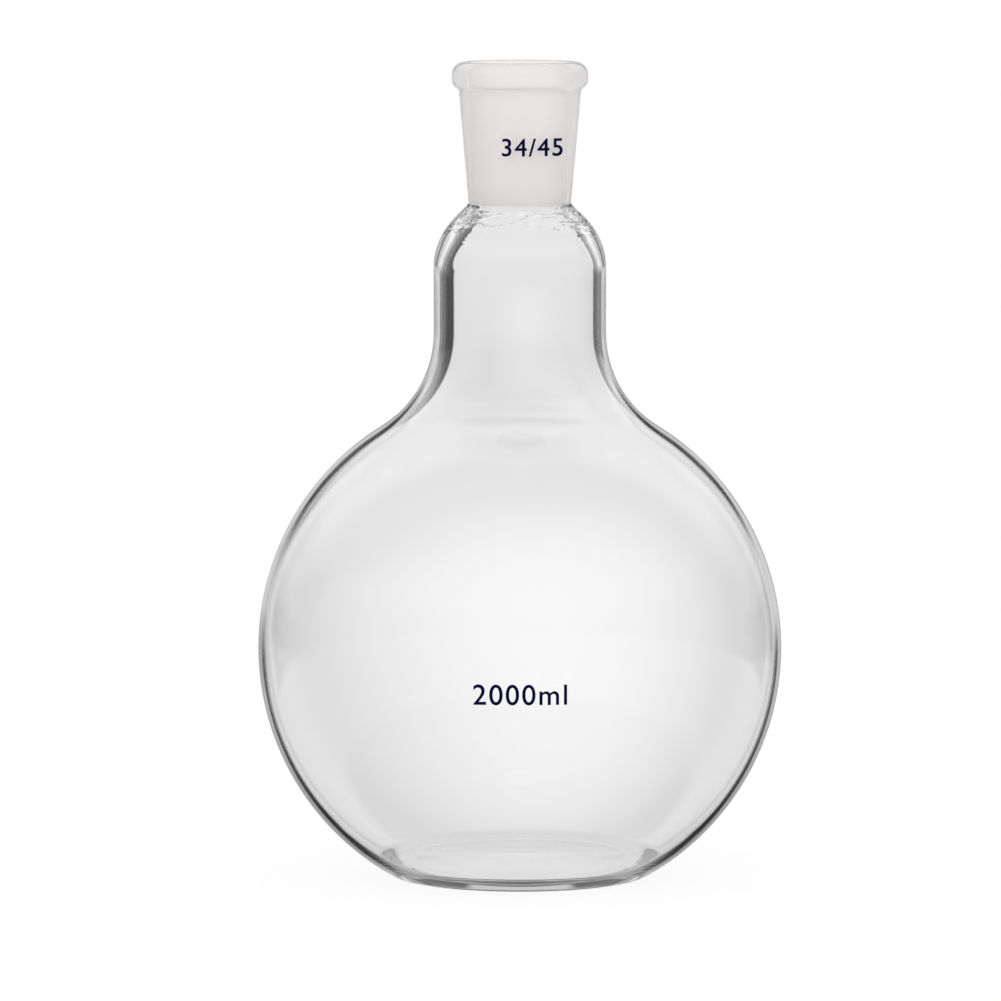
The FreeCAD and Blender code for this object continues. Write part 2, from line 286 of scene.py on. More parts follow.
def relief(tree, place, scale, detail, strength, depth):
    """A noise as small heights of the surface: the noise, and the normal that it makes."""
    noise = add_node(tree, "ShaderNodeTexNoise", None, {"Vector": place, "Scale": scale, "Detail": detail})
    height = noise.outputs["Fac"]
    bump = add_node(tree, "ShaderNodeBump", None, {"Strength": strength, "Distance": depth, "Height": height})
    return height, bump.outputs["Normal"]


def light_through(tree, output, glass, share):
    """Finishes a glass so that it passes the given share of a lamp's light, and casts only a faint shadow."""
    clear = add_node(tree, "ShaderNodeBsdfTransparent", None, {"Color": (share, share, share, 1.0)})
    shadow = add_node(tree, "ShaderNodeLightPath").outputs["Is Shadow Ray"]
    mix = add_node(tree, "ShaderNodeMixShader", None, {
        0: shadow, 1: glass.outputs["BSDF"], 2: clear.outputs["BSDF"]})
    tree.links.new(mix.outputs["Shader"], output.inputs["Surface"])


def clear_glass(finish):
    """Borosilicate glass, blown and fire polished: no texture but the faint waves left by the flame, and a
    painted shade on the flare.
    """
    material, tree, output, place = new_material("Borosilicate glass, fire polished")
    # Waves about 25 mm long and a few hundredths deep bend the edge lines a little
    _, waved = relief(tree, place, scale=40.0, detail=1.0, strength=0.15, depth=0.02 * MM)
    # Painted shade: within a band of heights on the flare, the glass is tinted a little darker where it faces
    # the eye squarely, which darkens the middle of the flare as seen
    painted_shade_facing = 0.17
    painted_shade_heights = (134.0 * MM, 150.0 * MM, 164.0 * MM, 186.0 * MM)
    turned_away = add_node(tree, "ShaderNodeLayerWeight", None, {
        "Blend": 0.5, "Normal": level_way_out(tree, place)}).outputs["Facing"]
    drawn = product(tree, ramp(tree, turned_away, painted_shade_facing, 0.0),
                    band(tree, height_of(tree, place), *painted_shade_heights))
    tint = add_node(tree, "ShaderNodeMix", {"data_type": "RGBA"}, {
        0: drawn, 6: (*finish.glass, 1.0), 7: (*finish.flare, 1.0)})
    glass = add_node(tree, "ShaderNodeBsdfPrincipled", None, {
        "Base Color": tint.outputs[2], "Roughness": 0.0, "IOR": GLASS_IOR, "Transmission Weight": 1.0,
        "Normal": waved})
    light_through(tree, output, glass, 0.9)
    return material


def ground_glass(finish):
    """The bore, ground with grit of about 50 microns: a fine even matt that scatters the light behind it."""
    material, tree, output, place = new_material("Borosilicate glass, ground matt")
    # Grinding turns with the cone, so its grain runs in faint rings; drawn coarser than real to show at all
    flattened = add_node(tree, "ShaderNodeMapping", None, {"Vector": place, "Scale": (1.0, 1.0, 6.0)})
    _, grained = relief(tree, flattened.outputs["Vector"], scale=900.0, detail=3.0, strength=0.4,
                        depth=0.03 * MM)
    glass = add_node(tree, "ShaderNodeBsdfPrincipled", None, {
        "Base Color": (*finish.ground, 1.0), "Roughness": 0.5, "IOR": GLASS_IOR, "Transmission Weight": 0.45,
        "Normal": grained})
    light_through(tree, output, glass, 0.8)
    return material


def fired_enamel(finish):
    """Blue ceramic enamel, screened on and fired: dense, smooth and faintly glossy."""
    material, tree, output, place = new_material("Ceramic enamel, fired")
    # The screen leaves the coat slightly uneven, with a few tenths of a millimetre from peak to peak
    pits, pitted = relief(tree, place, scale=3000.0, detail=2.0, strength=0.3, depth=0.02 * MM)
    thick_share = 0.8
    tint = add_node(tree, "ShaderNodeMix", {"data_type": "RGBA"}, {
        0: pits, 6: (*finish.enamel, 1.0), 7: (*[thick_share * v for v in finish.enamel], 1.0)})
    enamel = add_node(tree, "ShaderNodeBsdfPrincipled", None, {
        "Base Color": tint.outputs[2], "Roughness": 0.35, "IOR": 1.5, "Specular IOR Level": 0.06,
        "Normal": pitted})
    tree.links.new(enamel.outputs["BSDF"], output.inputs["Surface"])
    return material


# The section of the wall


class Outline:
    """Points in the half plane beside the axis, each with the direction that faces out of the glass."""

    def __init__(self):
        self.points = []
        self.outward = []

    def add(self, point, outward):
        """Adds a point, unless it repeats the one before."""
        if not self.points or math.dist(point, self.points[-1]) > 0.02 * MM:
            self.points.append(point)
            self.outward.append(outward)

    def line(self, start, end, step):
        count = max(1, math.ceil(math.dist(start, end) / step))
        along = [(b - a) / math.dist(start, end) for a, b in zip(start, end)]
        for i in range(count + 1):
            self.add(tuple(a + (b - a) * i / count for a, b in zip(start, end)), (along[1], -along[0]))

    def arc(self, centre, radius, first, last, step):
        """An arc from the angle first to the angle last, in radians: it swells out if last is the larger."""
        count = max(3, math.ceil(radius * abs(last - first) / step))
        swell = 1.0 if last > first else -1.0
        for i in range(count + 1):
            angle = first + (last - first) * i / count
            across, up = math.cos(angle), math.sin(angle)
            self.add((centre[0] + radius * across, centre[1] + radius * up), (swell * across, swell * up))

    def blend(self, first, last, step):
        """A run whose bend changes evenly from one end to the other.

        Each end is its point, the angle at which the run passes it, and its bend, one over the radius.
        """
        (start, start_angle, start_bend), (end, end_angle, end_bend) = first, last
        long = math.dist(start, end)
        count = math.ceil(long / step)
        for i in range(count + 1):
            t = i / count
            point, along = [], []
            for axis in (0, 1):
                start_way, end_way = (
                    long * (math.cos, math.sin)[axis](angle) for angle in (start_angle, end_angle))
                start_pull, end_pull = (
                    long * long * bend * (-math.sin(angle), math.cos(angle))[axis]
                    for angle, bend in ((start_angle, start_bend), (end_angle, end_bend)))
                gap = end[axis] - start[axis]
                # The terms of the fifth-degree curve that keeps both ends' direction and bend
                cubic = 10.0 * gap - 6.0 * start_way - 4.0 * end_way - 1.5 * start_pull + 0.5 * end_pull
                fourth = -15.0 * gap + 8.0 * start_way + 7.0 * end_way + 1.5 * start_pull - end_pull
                fifth = 6.0 * gap - 3.0 * (start_way + end_way) - 0.5 * start_pull + 0.5 * end_pull
                point.append(start[axis] + start_way * t + 0.5 * start_pull * t ** 2 + cubic * t ** 3
                             + fourth * t ** 4 + fifth * t ** 5)
                along.append(start_way + start_pull * t + 3.0 * cubic * t ** 2 + 4.0 * fourth * t ** 3
                             + 5.0 * fifth * t ** 4)
            self.add(tuple(point), (along[1] / math.hypot(*along), -along[0] / math.hypot(*along)))

    def follow(self, other):
        for point, outward in zip(other.points, other.outward):
            self.add(point, outward)


def other_leg(longest, leg):
    """The second leg of a right-angled triangle."""
    return math.sqrt(longest * longest - leg * leg)


def smooth_step(low, high, value):
    """0 up to low, 1 from high on, and a smooth rise between them."""
    share = min(1.0, max(0.0, (value - low) / (high - low)))
    return share * share * (3.0 - 2.0 * share)


def seat_on_slope(sizes, shift_in, cone_at_zero, lean, radius):
    """Where the round that joins the shoulder's slope to the wall of a cone starts, ends and has its centre.

    The cone leans out by lean, and its radius would be cone_at_zero at the standing plane. The slope lies
    shift_in inside the outer one.
    """
    slope, bend = sizes.shoulder_slope, sizes.shoulder_radius
    top = (sizes.neck_radius - bend + (bend - shift_in) * math.cos(slope),
           sizes.neck_top + (bend - shift_in) * math.sin(slope))
    along = (top[0] - cone_at_zero - top[1] * math.tan(lean)) / (
        math.sin(slope) + math.cos(slope) * math.tan(lean))
    corner = (top[0] - along * math.sin(slope), top[1] + along * math.cos(slope))
    back = radius * math.tan((slope + lean) / 2.0)
    start = (corner[0] + back * math.sin(slope), corner[1] - back * math.cos(slope))
    end = (corner[0] + back * math.sin(lean), corner[1] + back * math.cos(lean))
    centre = (end[0] + radius * math.cos(lean), end[1] - radius * math.sin(lean))
    return start, end, centre


def blown_skin(sizes, slope_end):
    """The outside of what was blown: the round body, its sweep into the neck, the neck and the shoulder."""
    centre, radius, heel = sizes.body_centre, sizes.body_radius, sizes.heel_radius
    flare, neck, bend = sizes.flare_radius, sizes.neck_radius, sizes.shoulder_radius
    heel_end = math.asin((heel - centre) / (radius - heel))
    flare_up = other_leg(radius + flare, neck + flare)
    flare_start = math.atan2(flare_up, neck + flare)
    # Hot glass never changes its bend at once, so the body runs into the flare, and the flare into the neck
    ease = sizes.blend_reach
    body_last, flare_first = flare_start - ease / radius, flare_start - ease / flare
    flare_last = 0.5 * ease / flare
    flare_centre = (neck + flare, centre + flare_up)

    def on_arc(middle, reach, angle):
        return middle[0] + reach * math.cos(angle), middle[1] + reach * math.sin(angle)

    upright = math.pi / 2.0
    skin = Outline()
    skin.arc((0.0, centre), radius, heel_end, body_last, 2.2 * MM)
    skin.blend((on_arc((0.0, centre), radius, body_last), body_last + upright, 1.0 / radius),
               (on_arc(flare_centre, flare, flare_first + math.pi), flare_first + upright, -1.0 / flare),
               1.2 * MM)
    skin.arc(flare_centre, flare, flare_first + math.pi, flare_last + math.pi, 1.4 * MM)
    skin.blend((on_arc(flare_centre, flare, flare_last + math.pi), flare_last + upright, -1.0 / flare),
               ((neck, centre + flare_up + 0.5 * ease), upright, 0.0), 1.4 * MM)
    skin.line((neck, centre + flare_up + 0.5 * ease), (neck, sizes.neck_top), 2.5 * MM)
    skin.arc((neck - bend, sizes.neck_top), bend, 0.0, 0.5 * sizes.shoulder_slope, 0.8 * MM)
    skin.arc((neck - bend, sizes.neck_top), bend, 0.5 * sizes.shoulder_slope, sizes.shoulder_slope, 0.3 * MM)
    skin.line(skin.points[-1], slope_end, 0.3 * MM)
    return skin


def wall_at(sizes, height):
    """The glass of the blown part at a height: thicker away from the waist, and even in the neck."""
    inner = sizes.body_radius - sizes.waist_wall - sizes.wall_gain
    up = min(0.98, max(-0.98, (height - sizes.body_centre) / sizes.body_radius))
    reach = sizes.wall_gain * other_leg(1.0, up) + other_leg(inner, sizes.wall_gain * up)
    flare_foot = sizes.body_centre + other_leg(sizes.body_radius + sizes.flare_radius,
                                               sizes.neck_radius + sizes.flare_radius) * sizes.body_radius / (
        sizes.body_radius + sizes.flare_radius)
    even = smooth_step(flare_foot - sizes.even_below, flare_foot + sizes.even_above, height)
    gathered = smooth_step(sizes.neck_top - sizes.gather_below, sizes.neck_top + sizes.gather_above, height)
    neck = (1.0 - gathered) * sizes.neck_wall + gathered * sizes.shoulder_wall
    return (1.0 - even) * (sizes.body_radius - reach) + even * neck


def skin_section(sizes):
    """The outer skin, from the middle of the base up to the middle of the lip."""
    top, lean = sizes.total_height, sizes.socket_draft
    ring_out = other_leg(sizes.body_radius - sizes.heel_radius, sizes.body_centre - sizes.heel_radius)
    ring_in = ring_out - sizes.ring_width
    dish = sizes.base_dish
    dish_radius = (ring_in ** 2 + dish ** 2) / (2.0 * dish)
    bead_low = top - sizes.bead_depth
    cone_at_zero = sizes.socket_radius - bead_low * math.tan(lean)
    slope_end, socket_start, seal_centre = seat_on_slope(sizes, 0.0, cone_at_zero, lean, sizes.seal_radius)
    collar, under, over = sizes.collar_radius, sizes.bead_under_radius, sizes.bead_over_radius
    wall_end = (sizes.socket_radius - collar * math.sin(lean), bead_low - collar)
    collar_centre = (wall_end[0] + collar * math.cos(lean), wall_end[1] - collar * math.sin(lean))
    under_centre = (sizes.bead_radius - under, bead_low + under)
    collar_turn = math.atan2(under_centre[1] - collar_centre[1], under_centre[0] - collar_centre[0])
    heel_end = math.asin((sizes.heel_radius - sizes.body_centre) / (sizes.body_radius - sizes.heel_radius))

    skin = Outline()
    skin.arc((0.0, dish - dish_radius), dish_radius,
             math.pi / 2.0, math.pi / 2.0 - math.asin(ring_in / dish_radius), 3.0 * MM)
    skin.line((ring_in, 0.0), (ring_out, 0.0), 0.8 * MM)
    skin.arc((ring_out, sizes.heel_radius), sizes.heel_radius, -math.pi / 2.0, heel_end, 0.3 * MM)
    skin.follow(blown_skin(sizes, slope_end))
    skin.arc(seal_centre, sizes.seal_radius, math.pi + sizes.shoulder_slope, math.pi - lean, 0.35 * MM)
    skin.line(socket_start, wall_end, 1.5 * MM)
    skin.arc(collar_centre, collar, math.pi - lean, collar_turn, 0.25 * MM)
    skin.arc(under_centre, under, collar_turn - math.pi, 0.0, 0.35 * MM)
    skin.line((sizes.bead_radius, bead_low + under), (sizes.bead_radius, top - over), 0.5 * MM)
    skin.arc((sizes.bead_radius - over, top - over), over, 0.0, math.pi / 2.0, 0.45 * MM)
    return skin.points


def hollow_section(sizes):
    """The hollow, from the middle of the floor up and round to the edge of the mouth."""
    top, mouth = sizes.total_height, sizes.mouth_radius
    floor = sizes.base_dish + sizes.base_wall
    gain, heel = sizes.wall_gain, sizes.inner_heel_radius
    inner = sizes.body_radius - sizes.waist_wall - gain
    heel_out = gain + other_leg(inner - heel, sizes.body_centre - floor - heel)
    heel_end = math.atan2(floor + heel - sizes.body_centre, heel_out - gain)
    lean = math.atan(0.5 / sizes.bore_taper)
    bore_at_zero = sizes.bore_radius - (top - sizes.bore_inset) * math.tan(lean)
    slope_end, bore_start, foot_centre = seat_on_slope(
        sizes, sizes.shoulder_wall, bore_at_zero, lean, sizes.foot_radius)
    bore_end_height = top - mouth + mouth * math.sin(lean)
    bore_end = (bore_at_zero + bore_end_height * math.tan(lean), bore_end_height)
    mouth_centre = (bore_end[0] + mouth * math.cos(lean), top - mouth)

    hollow = Outline()
    hollow.line((0.0, floor), (heel_out, floor), 3.0 * MM)
    hollow.arc((heel_out, floor + heel), heel, -math.pi / 2.0, heel_end, 0.3 * MM)
    followed = blown_skin(sizes, seat_on_slope(
        sizes, 0.0, sizes.socket_radius - (top - sizes.bead_depth) * math.tan(sizes.socket_draft),
        sizes.socket_draft, sizes.seal_radius)[0])
    lowest = hollow.points[-1][1] + 1.0 * MM
    for (across, up), (out_across, out_up) in zip(followed.points, followed.outward):
        wall = wall_at(sizes, up)
        point = (across - wall * out_across, up - wall * out_up)
        if lowest < point[1] < slope_end[1] - 0.2 * MM:
            hollow.add(point, (out_across, out_up))
    hollow.arc(foot_centre, sizes.foot_radius, math.pi + sizes.shoulder_slope, math.pi - lean, 0.4 * MM)
    hollow.line(bore_start, bore_end, 1.5 * MM)
    hollow.arc(mouth_centre, mouth, math.pi - lean, math.pi / 2.0, 0.25 * MM)
    return hollow.points


def section_object(sizes):
    """The section as a run of edges, with each point marked 0 on the skin and 1 on the hollow."""
    skin, hollow = skin_section(sizes), hollow_section(sizes)
    points = skin + hollow[::-1]
    mesh = bpy.data.meshes.new("Wall section")
    mesh.from_pydata([(r, 0.0, z) for r, z in points], [(i, i + 1) for i in range(len(points) - 1)], [])
    side = mesh.attributes.new(HOLLOW_SIDE, "FLOAT", "POINT")
    side.data.foreach_set("value", [0.0] * len(skin) + [1.0] * len(hollow))
    section = bpy.data.objects.new("Wall section", mesh)
    bpy.context.scene.collection.objects.link(section)
    return section


# The tree that turns the section into the wall


FIRE_SIZES = ("Seal middle", "Seal reach", "Seal ripple", "Seal crease", "Wall wave", "Thin height",
              "Thin reach", "Thin depth", "Lean over", "True below")


def turned_wall_tree(clear, ground):
    """Turns a section about the axis, closes it, and adds the marks of blowing and sealing."""
    tree = bpy.data.node_groups.new("Turned glass wall", "GeometryNodeTree")
    tree.interface.new_socket("Section", in_out="INPUT", socket_type="NodeSocketGeometry")
    tree.interface.new_socket("Wall", in_out="OUTPUT", socket_type="NodeSocketGeometry")
    tree.interface.new_socket("Steps round", in_out="INPUT", socket_type="NodeSocketInt")
    for name in (*FIRE_SIZES, "Ground top", "Ground foot"):
        tree.interface.new_socket(name, in_out="INPUT", socket_type="NodeSocketFloat")
    source = add_node(tree, "NodeGroupInput").outputs
    section = source["Section"]

    # One row of the grid for each point of the section, one column for each step round
    count = add_node(tree, "GeometryNodeAttributeDomainSize", None, {"Geometry": section})
    points = count.outputs["Point Count"]
    columns = arith(tree, "ADD", source["Steps round"], 1.0)
    grid = add_node(tree, "GeometryNodeMeshGrid", None, {"Vertices X": points, "Vertices Y": columns})
    index = add_node(tree, "GeometryNodeInputIndex").outputs[0]
    row = arith(tree, "FLOOR", arith(tree, "DIVIDE", index, columns))
    column = arith(tree, "SUBTRACT", index, arith(tree, "MULTIPLY", row, columns))
    angle = arith(tree, "DIVIDE", arith(tree, "MULTIPLY", column, math.tau), source["Steps round"])
    spot = add_node(tree, "GeometryNodeInputPosition").outputs[0]
    hollow_side = add_node(tree, "GeometryNodeInputNamedAttribute", {"data_type": "FLOAT"}, {
        "Name": HOLLOW_SIDE}).outputs["Attribute"]
    place = add_node(tree, "GeometryNodeSampleIndex", {"data_type": "FLOAT_VECTOR"}, {
        "Geometry": section, "Value": spot, "Index": row})
    side = add_node(tree, "GeometryNodeSampleIndex", {"data_type": "FLOAT"}, {
        "Geometry": section, "Value": hollow_side, "Index": row})
    turned = add_node(tree, "ShaderNodeVectorRotate", {"rotation_type": "Z_AXIS"}, {
        "Vector": place.outputs["Value"], "Angle": angle})
    laid = add_node(tree, "GeometryNodeSetPosition", None, {
        "Geometry": grid.outputs["Mesh"], "Position": turned.outputs["Vector"]})
    marked = add_node(tree, "GeometryNodeStoreNamedAttribute", {"data_type": "FLOAT", "domain": "POINT"}, {
        "Geometry": laid.outputs["Geometry"], "Name": HOLLOW_SIDE, "Value": side.outputs["Value"]})
    closed = add_node(tree, "GeometryNodeMergeByDistance", None, {
        "Geometry": marked.outputs["Geometry"], "Distance": 0.005 * MM})

    # Tool marks: rings a few millimetres apart, broken up, in the band where the socket was sealed on
    height = height_of(tree, spot)
    seal_share = bell(tree, steps_from(tree, height, source["Seal middle"], source["Seal reach"]))
    flattened = add_node(tree, "ShaderNodeVectorMath", {"operation": "MULTIPLY"}, {
        0: spot, 1: (1.0, 1.0, 3.2)}).outputs[0]
    rings = uneven(tree, flattened, scale=110.0, detail=2.0, roughness=0.6, distortion=0.6)
    ripple = product(tree, rings, source["Seal ripple"])
    # Creases follow the lines along which a second, slower pattern passes its middle
    crease_width = 0.06
    drift = uneven(tree, flattened, scale=62.0, detail=1.0, distortion=1.2)
    crease = bell(tree, arith(tree, "DIVIDE", drift, crease_width))
    raised = arith(tree, "MULTIPLY_ADD", crease, source["Seal crease"], ripple)
    seal_push = product(tree, raised, seal_share)

    # The blown wall: uneven inside, thinnest at its two sides a little above its widest, and off to one side
    out = level_way_out(tree, spot)
    sideways = add_node(tree, "ShaderNodeSeparateXYZ", None, {0: out}).outputs["X"]
    wave = product(tree, uneven(tree, spot, scale=16.0, detail=0.0), source["Wall wave"])
    thin_share = bell(tree, steps_from(tree, height, source["Thin height"], source["Thin reach"]))
    thinning = product(tree, thin_share, source["Thin depth"], product(tree, sideways, sideways))
    lean = product(tree, sideways, thin_share, source["Lean over"])
    moved = arith(tree, "SUBTRACT", arith(tree, "ADD", wave, thinning), lean)
    above_floor = arith(tree, "GREATER_THAN", height, source["True below"])
    below_bore = arith(tree, "LESS_THAN", height, source["Ground foot"])
    wall_push = product(tree, moved, hollow_side, above_floor, below_bore)

    seal_move = add_node(tree, "ShaderNodeVectorMath", {"operation": "SCALE"}, {
        0: add_node(tree, "GeometryNodeInputNormal").outputs[0], "Scale": seal_push})
    wall_move = add_node(tree, "ShaderNodeVectorMath", {"operation": "SCALE"}, {0: out, "Scale": wall_push})
    move = add_node(tree, "ShaderNodeVectorMath", {"operation": "ADD"}, {
        0: seal_move.outputs[0], 1: wall_move.outputs[0]})
    worked = add_node(tree, "GeometryNodeSetPosition", None, {
        "Geometry": closed.outputs["Geometry"], "Offset": move.outputs[0]})
    smooth = add_node(tree, "GeometryNodeSetShadeSmooth", None, {"Geometry": worked.outputs["Geometry"]})
    real = add_node(tree, "GeometryNodeRealizeInstances", None, {"Geometry": smooth.outputs["Geometry"]})
    glazed = add_node(tree, "GeometryNodeSetMaterial", None, {
        "Geometry": real.outputs["Geometry"], "Material": clear})
    above_foot = arith(tree, "GREATER_THAN", height, source["Ground foot"])
    below_top = arith(tree, "LESS_THAN", height, source["Ground top"])
    in_ground = arith(tree, "GREATER_THAN", product(tree, above_foot, below_top, hollow_side), 0.5)
    matted = add_node(tree, "GeometryNodeSetMaterial", None, {
        "Geometry": glazed.outputs["Geometry"], "Selection": in_ground, "Material": ground})
    output = add_node(tree, "NodeGroupOutput")
    tree.links.new(matted.outputs["Geometry"], output.inputs["Wall"])
    return tree


def plain_piece(name, source):
    """The source object with its modifiers made real, as a plain mesh object of its own."""
    evaluated = source.evaluated_get(bpy.context.evaluated_depsgraph_get())
    mesh = bpy.data.meshes.new_from_object(evaluated)
    mesh.name = name
    piece = bpy.data.objects.new(name, mesh)
    bpy.context.scene.collection.objects.link(piece)
    bpy.data.objects.remove(source)
    return piece


def face_outwards(mesh):
    """Turns every face of a closed mesh to the outside of its glass."""
    work = bmesh.new()
    work.from_mesh(mesh)
    bmesh.ops.recalc_face_normals(work, faces=work.faces)
    work.to_mesh(mesh)
    work.free()


class FLASK_OT_blow_wall(bpy.types.Operator):
    """Turn the section into the flask's one wall of glass"""
    bl_idname = "flask.blow_wall"
    bl_label = "Glass wall"

    def execute(self, context):
        sizes, fire = context.scene.flask_wall, context.scene.flask_fire
        finish = context.scene.flask_finish
        section = section_object(sizes)
        tree = turned_wall_tree(clear_glass(finish), ground_glass(finish))
        modifier = section.modifiers.new("Turned glass wall", "NODES")
        modifier.node_group = tree
        # The matt runs up the round of the mouth, nearly to the lip
        clear_lip = 0.3 * sizes.mouth_radius
        values = {name: getattr(fire, name.lower().replace(" ", "_")) for name in FIRE_SIZES}
        values["Steps round"] = sizes.steps_round
        values["Ground top"] = sizes.total_height - clear_lip
        values["Ground foot"] = sizes.total_height - sizes.bore_inset - sizes.bore_length
        for item in tree.interface.items_tree:
            if item.name in values:
                modifier[item.identifier] = values[item.name]
        wall = plain_piece("flask_glass", section)
        face_outwards(wall.data)
        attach(wall, "root")
        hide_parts(NODE)
        return {"FINISHED"}


# The fired marks


def lettering(text, tall):
    """Plain numerals as a flat mesh in the XY plane, centred, with figures of the given height."""
    curve = bpy.data.curves.new(text, "FONT")
    curve.body = text
    curve.align_x = "CENTER"
    curve.space_character = 1.12
    made = bpy.data.objects.new("lettering", curve)
    bpy.context.scene.collection.objects.link(made)
    bpy.context.view_layer.update()
    mesh = bpy.data.meshes.new_from_object(made.evaluated_get(bpy.context.evaluated_depsgraph_get()))
    bpy.data.objects.remove(made)
    scale = tall / max(vert.co.y for vert in mesh.vertices)
    mesh.transform(Matrix.Diagonal((scale, scale, scale, 1.0)))
    mesh.transform(Matrix.Translation((0.0, -tall / 2.0, 0.0)))
    return mesh


def spread_ink(work, reach):
    """Widens every stroke of a flat mesh by moving its edges out, as ink does under the screen.

    A corner moves farther than an edge, by 1 over the cosine of half its turn or 1 over sharpest at most.
    """
    sharpest = 0.625
    outward = {}
    for edge in (edge for edge in work.edges if edge.is_boundary):
        face = edge.link_faces[0]
        middle = (edge.verts[0].co + edge.verts[1].co) / 2.0
        along = (edge.verts[1].co - edge.verts[0].co).normalized()
        away = Vector((along.y, -along.x, 0.0))
        if away.dot(face.calc_center_median() - middle) > 0.0:
            away = -away
        for vert in edge.verts:
            outward.setdefault(vert, []).append(away)
    for vert, ways in outward.items():
        mean = sum(ways, Vector()).normalized()
        vert.co += mean * (reach / max(mean.dot(ways[0]), sharpest))


def cut_up(work, step):
    """Cuts a flat mesh along a square grid, so that it can follow the round of the glass."""
    for axis, way in enumerate(((1.0, 0.0, 0.0), (0.0, 1.0, 0.0))):
        first, last = (pick(vert.co[axis] for vert in work.verts) for pick in (min, max))
        for i in range(1, math.ceil((last - first) / step)):
            bmesh.ops.bisect_plane(work, geom=work.verts[:] + work.edges[:] + work.faces[:], dist=SAME_PLACE,
                                   plane_co=[(first + i * step) * v for v in way], plane_no=way)
    bmesh.ops.triangulate(work, faces=work.faces)


def wrap_on_glass(mesh, middle, shift, radius_at, marks):
    """Stands a flat mesh up, lays it on the front of the glass and gives it the enamel's thickness."""
    work = bmesh.new()
    work.from_mesh(mesh)
    bmesh.ops.remove_doubles(work, verts=work.verts, dist=SAME_PLACE)
    bmesh.ops.dissolve_degenerate(work, dist=SAME_PLACE, edges=work.edges)
    spread_ink(work, marks.ink)
    cut_up(work, 1.0 * MM)
    for vert in work.verts:
        across, height = vert.co.x + shift, vert.co.y + middle
        vert.co = Vector((across, -other_leg(radius_at(height) + marks.seat, across), height))
    bmesh.ops.recalc_face_normals(work, faces=work.faces)
    if sum(face.normal.y for face in work.faces) > 0.0:
        bmesh.ops.reverse_faces(work, faces=work.faces)
    top = bmesh.ops.extrude_face_region(work, geom=work.faces[:])
    lifted = [item for item in top["geom"] if isinstance(item, bmesh.types.BMVert)]
    for vert in lifted:
        level = Vector((vert.co.x, vert.co.y, 0.0)).normalized()
        vert.co += level * marks.coat
    bmesh.ops.recalc_face_normals(work, faces=work.faces)
    work.to_mesh(mesh)
    work.free()


class FLASK_OT_fire_marks(bpy.types.Operator):
    """Fire the plain numerals on the body and on the socket"""
    bl_idname = "flask.fire_marks"
    bl_label = "Fired marks"

    def execute(self, context):
        sizes, marks = context.scene.flask_wall, context.scene.flask_marks
        enamel = fired_enamel(context.scene.flask_finish)
        bead_under = sizes.total_height - sizes.bead_depth

        def body_radius_at(height):
            return other_leg(sizes.body_radius, height - sizes.body_centre)

        def socket_radius_at(height):
            return sizes.socket_radius - (bead_under - height) * math.tan(sizes.socket_draft)

        for name, text, tall, height, radius_at, shift in (
                ("capacity_mark", marks.capacity, marks.capacity_tall, marks.capacity_height,
                 body_radius_at, 0.0),
                ("taper_mark", marks.taper, marks.taper_tall, marks.taper_height,
                 socket_radius_at, marks.taper_shift)):
            mesh = lettering(text, tall)
            wrap_on_glass(mesh, height, shift, radius_at, marks)
            mesh.name = name
            mesh.materials.clear()
            mesh.materials.append(enamel)
            piece = bpy.data.objects.new(name, mesh)
            context.scene.collection.objects.link(piece)
            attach(piece, "root")
        return {"FINISHED"}


# The stage


